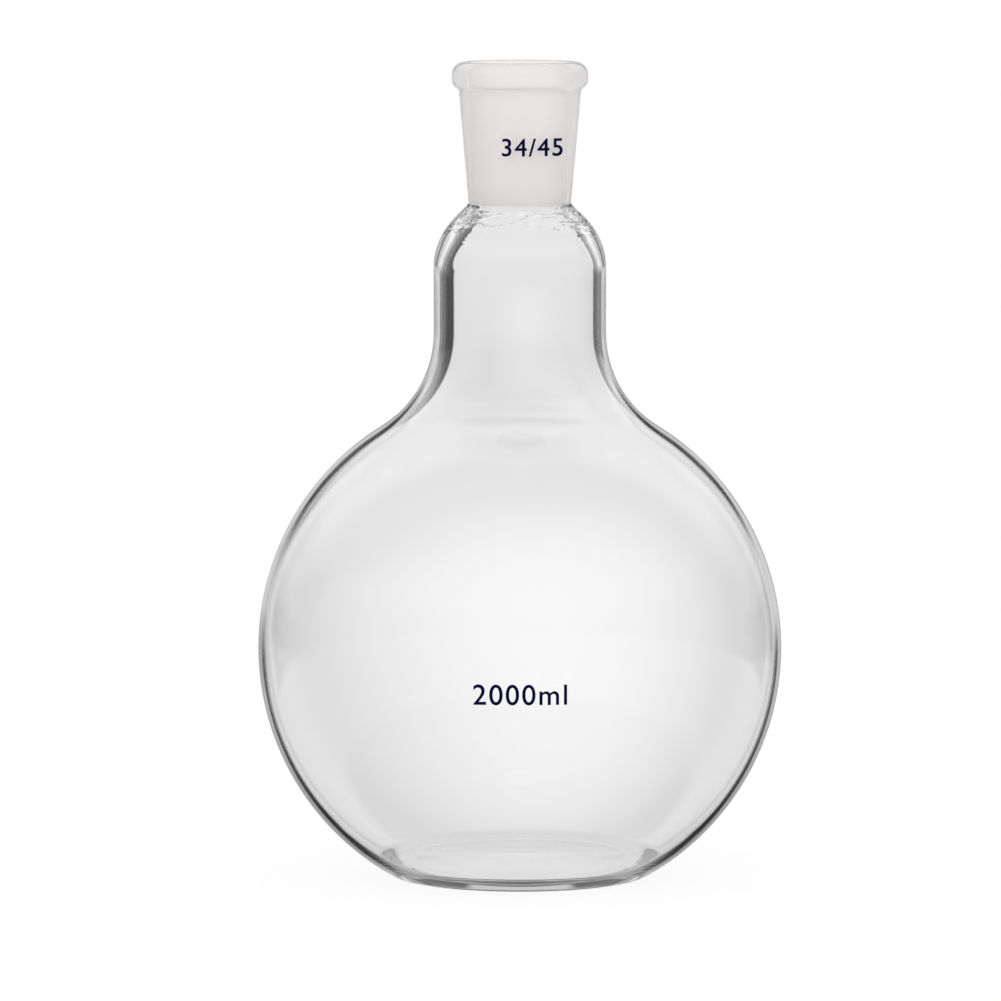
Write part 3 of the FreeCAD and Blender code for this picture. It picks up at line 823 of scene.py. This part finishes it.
class Surround:
    """What the glass sees round it: for each way that light takes through it, how bright each direction is.

    Directions are in degrees: round from straight behind the flask, and up from level. A band of them is
    given by where it starts, is full, is still full and is gone. Levels are shares of plain white.
    """
    BODY_UP = -6.0
    BESIDE_DIMS = (50.0, 75.0)
    SIDE_LEVEL = 0.3

    def __init__(self, tree):
        self.tree = tree
        way = add_node(tree, "ShaderNodeSeparateXYZ", None, {
            0: add_node(tree, "ShaderNodeTexCoord").outputs["Generated"]}).outputs
        level = length_of(tree, way["X"], way["Y"])
        self.round = self.arith("DEGREES", self.arith("ARCTAN2", way["X"], way["Y"]))
        self.up = self.arith("DEGREES", self.arith("ARCTAN2", way["Z"], level))
        self.off_height = self.arith("SUBTRACT", self.up, self.BODY_UP)
        self.away = length_of(tree, self.round, self.off_height)
        self.beside = self.arith("ABSOLUTE", self.round)
        # The edge lines fade where the pale bench meets the wall
        self.drawn = ramp(tree, self.arith("ABSOLUTE", self.arith("SUBTRACT", self.up, 0.5)), 3.0, 8.0)

    def arith(self, operation, *values):
        return arith(self.tree, operation, *values)

    def product(self, *shares):
        return product(self.tree, *shares)

    def up_band(self, *heights):
        return band(self.tree, self.up, *heights)

    def lay(self, under, share, level):
        """The light under a card, and the card's own level where its share is 1."""
        return choose(self.tree, share, under, level)

    def room(self, level):
        """A plain wall that dims towards both sides."""
        return self.lay(level, ramp(self.tree, self.beside, *self.BESIDE_DIMS), self.SIDE_LEVEL)

    def hoop(self, inner, outer):
        """The share of a dark hoop round the panel, which draws the edge lines."""
        soft = 1.8
        return band(self.tree, self.away, inner - soft, inner + soft, outer - soft, outer + soft)

    def straight(self):
        """Light straight through both walls: a panel, brightest in its middle, and black cards round it.

        The panel and its cards repeat every eighth of a turn, so that all sides look alike.
        """
        every = 45.0
        turned = self.arith("MODULO", self.arith("ADD", self.round, 360.0 + every / 2.0), every)
        off_round = self.arith("SUBTRACT", turned, every / 2.0)
        panel_middle, panel_half, widening = 2.6, (9.2, 10.0), 0.25
        over_level = self.arith("MAXIMUM", self.arith("SUBTRACT", self.up, 1.0), 0.0)
        past_panel = self.arith("MULTIPLY_ADD", over_level, -widening, self.arith(
            "ABSOLUTE", self.arith("SUBTRACT", off_round, panel_middle)))
        side_card = self.product(ramp(self.tree, past_panel, *panel_half),
                                 self.up_band(-8.5, -6.5, 13.0, 16.0))
        top_card = self.up_band(12.0, 15.0, 22.0, 26.0)
        pool_half, pool_shift, pool_over, pool_under = 3.003, 0.17, 3.1, 8.0
        pool = bell(self.tree, length_of(
            self.tree, self.arith("MULTIPLY_ADD", off_round, 1.0 / pool_half, -pool_shift),
            self.arith("MAXIMUM", self.arith("DIVIDE", self.off_height, pool_over),
                       self.arith("DIVIDE", self.off_height, -pool_under))))
        low_gain, high_gain, pool_gain = 0.03, 0.04, 0.21
        panel = self.arith("MULTIPLY_ADD", ramp(self.tree, self.up, 3.0, 8.0), high_gain, 0.835)
        panel = self.arith("MULTIPLY_ADD", ramp(self.tree, self.up, -6.0, -3.0), low_gain, panel)
        panel = self.arith("MULTIPLY_ADD", pool, pool_gain, panel)
        return self.lay(panel, self.arith("MAXIMUM", side_card, top_card), 0.03)

    def inside_one_wall(self):
        """Light thrown back inside one wall: the neck's sides also see the cards beside the hoop."""
        neck_middle = -3.0
        beside_neck = self.arith("ABSOLUTE", self.arith("SUBTRACT", self.round, neck_middle))
        in_neck = self.product(band(self.tree, beside_neck, 31.5, 34.5, 58.0, 70.0),
                               self.up_band(-8.0, -5.5, 1.0, 6.0))
        high_sides = self.product(band(self.tree, self.beside, 24.0, 30.0, 46.0, 60.0),
                                  self.up_band(7.0, 11.0, 26.0, 34.0))
        # A narrow card low behind the base and one high over it draw the near edge of the thick floor
        near = ramp(self.tree, self.beside, 11.0, 8.0)
        low_card = self.up_band(-38.0, -28.0, 2.0, 3.0)
        high_card = self.up_band(22.5, 24.0, 36.0, 40.0)
        opening = self.product(near, ramp(self.tree, self.up, 23.5, 21.5))
        edge = self.product(self.hoop(16.0, 26.5), self.drawn, self.arith("SUBTRACT", 1.0, opening))

        light = self.lay(self.room(0.64), high_sides, 0.95)
        light = self.lay(light, edge, 0.04)
        light = self.lay(light, in_neck, 0.12)
        return self.lay(light, self.product(near, self.arith("MAXIMUM", low_card, high_card)), 0.06)

    def front(self):
        """Light thrown back by the front of the glass: the room, lighter towards its ceiling."""
        ceiling_gain = 0.4
        ceiling = ramp(self.tree, self.up, 12.0, 26.0)
        lit = self.arith("MULTIPLY_ADD", ceiling, ceiling_gain, self.room(0.64))
        return self.lay(lit, self.product(self.hoop(22.0, 31.0), self.drawn), 0.04)

    def far_wall(self):
        """Light thrown back by the far wall."""
        across_neck = self.product(ramp(self.tree, self.beside, 26.0, 31.0),
                                   self.up_band(-45.0, -12.0, -2.0, -0.5))
        light = self.lay(self.room(0.78), across_neck, 0.1)
        at_sides = ramp(self.tree, self.beside, 6.0, 10.0)
        light = self.lay(light, self.product(self.hoop(12.0, 20.5), at_sides), 0.08)
        return self.lay(light, ramp(self.tree, self.up, 24.0, 34.0), 0.06)


def studio_world():
    """Pale surround: plain white to the camera, and a white panel between darker sides behind the glass."""
    world = bpy.data.worlds.new("Pale studio")
    world.use_nodes = True
    tree = world.node_tree
    tree.nodes.clear()
    surround = Surround(tree)
    path = add_node(tree, "ShaderNodeLightPath").outputs
    # Light that was thrown back by the front has crossed no surface; past both walls it has crossed four
    past_front = arith(tree, "GREATER_THAN", path["Transmission Depth"], 0.5)
    past_wall = arith(tree, "GREATER_THAN", path["Transmission Depth"], 2.5)
    bounced = arith(tree, "GREATER_THAN", path["Glossy Depth"], 0.5)
    scattered = arith(tree, "GREATER_THAN", path["Diffuse Depth"], 0.5)
    level = choose(tree, past_front, surround.front(), surround.inside_one_wall())
    through = choose(tree, bounced, surround.straight(), surround.far_wall())
    level = choose(tree, past_wall, level, through)
    # The camera sees plain white, and matt surfaces take a little more light than that
    backdrop, room_light = 1.0, 1.07
    plain = choose(tree, path["Is Camera Ray"], room_light, backdrop)
    level = choose(tree, arith(tree, "MAXIMUM", path["Is Camera Ray"], scattered), level, plain)
    background = add_node(tree, "ShaderNodeBackground", None, {
        "Color": (1.0, 1.0, 1.0, 1.0), "Strength": level})
    output = add_node(tree, "ShaderNodeOutputWorld")
    tree.links.new(background.outputs["Background"], output.inputs["Surface"])
    return world


def white_floor():
    """Matt white laminate: white to the camera, and shaded only near the flask."""
    material, tree, output, place = new_material("White laminate")
    shade_reach, shade_full, shade_share = 0.55, 0.1, 0.16
    away = add_node(tree, "ShaderNodeVectorMath", {"operation": "LENGTH"}, {0: place}).outputs["Value"]
    shaded = product(tree, ramp(tree, away, shade_reach, shade_full), shade_share)
    matt = add_node(tree, "ShaderNodeBsdfDiffuse", None, {"Color": (*linear("#F2F2F2"), 1.0)})
    glow = add_node(tree, "ShaderNodeEmission", None, {"Color": (1.0, 1.0, 1.0, 1.0), "Strength": 1.0})
    mix = add_node(tree, "ShaderNodeMixShader", None, {
        0: shaded, 1: glow.outputs["Emission"], 2: matt.outputs["BSDF"]})
    tree.links.new(mix.outputs["Shader"], output.inputs["Surface"])
    return material


# Each lamp's name, place, width and power
LAMPS = (("key", (-0.9, -1.1, 1.5), 0.9, 7.5), ("fill", (1.1, -0.9, 1.1), 1.0, 6.0))
LAMPS_AIM = Vector((0.0, 0.0, 0.1))


class FLASK_OT_set_stage(bpy.types.Operator):
    """Lay the floor, hang the light and place the camera"""
    bl_idname = "flask.set_stage"
    bl_label = "Stage"

    def execute(self, context):
        stage = context.scene.flask_stage
        mesh = bpy.data.meshes.new("floor")
        half = 6.0
        corners = [(-half, -half, 0.0), (half, -half, 0.0), (half, half, 0.0), (-half, half, 0.0)]
        mesh.from_pydata(corners, [], [(0, 1, 2, 3)])
        mesh.materials.append(white_floor())
        floor = bpy.data.objects.new("floor", mesh)
        context.scene.collection.objects.link(floor)
        floor.visible_transmission = False
        floor.visible_glossy = False

        for name, place, size, power in LAMPS:
            light = bpy.data.lights.new(name, "AREA")
            light.shape = "DISK"
            light.size = size
            light.energy = power
            lamp = bpy.data.objects.new(name, light)
            lamp.location = place
            lamp.rotation_euler = (LAMPS_AIM - Vector(place)).to_track_quat("-Z", "Y").to_euler()
            lamp.visible_glossy = False
            lamp.visible_transmission = False
            context.scene.collection.objects.link(lamp)

        camera = bpy.data.cameras.new("camera")
        camera.lens = stage.lens
        camera.sensor_width = 36.0
        camera.clip_end = 50.0
        eye = bpy.data.objects.new("camera", camera)
        eye.location = (stage.camera_side, -stage.camera_back, stage.camera_height)
        eye.rotation_euler = (math.pi / 2.0 - stage.camera_pitch, 0.0, 0.0)
        context.scene.collection.objects.link(eye)
        context.scene.camera = eye
        context.scene.world = studio_world()
        context.scene.view_settings.view_transform = "Standard"
        # Light runs along the thick base as in a light guide, and turns there more often than usual
        for kind in ("max_bounces", "glossy_bounces", "transmission_bounces"):
            setattr(context.scene.cycles, kind, 32)
        return {"FINISHED"}


class FLASK_PT_sidebar(bpy.types.Panel):
    """The steps that make the flask and its stage"""
    bl_label = "Flat bottom flask"
    bl_idname = "FLASK_PT_sidebar"
    bl_space_type = "VIEW_3D"
    bl_region_type = "UI"
    bl_category = "Flask"

    def draw(self, context):
        for operator in OPERATORS:
            self.layout.operator(operator.bl_idname)


GROUPS = {
    "flask_wall": FlaskWallSizes, "flask_fire": FlaskFireMarks, "flask_finish": FlaskFinish,
    "flask_marks": FlaskMarks, "flask_stage": FlaskStage}
OPERATORS = (FLASK_OT_blow_wall, FLASK_OT_fire_marks, FLASK_OT_set_stage)


def register():
    for kind in (*GROUPS.values(), *OPERATORS, FLASK_PT_sidebar):
        bpy.utils.register_class(kind)
    for name, kind in GROUPS.items():
        setattr(bpy.types.Scene, name, PointerProperty(type=kind))


def unregister():
    for name in GROUPS:
        delattr(bpy.types.Scene, name)
    for kind in reversed((*GROUPS.values(), *OPERATORS, FLASK_PT_sidebar)):
        bpy.utils.unregister_class(kind)


def main():
    register()
    bpy.ops.flask.blow_wall()
    bpy.ops.flask.fire_marks()
    bpy.ops.flask.set_stage()


if __name__ == "__main__":
    main()
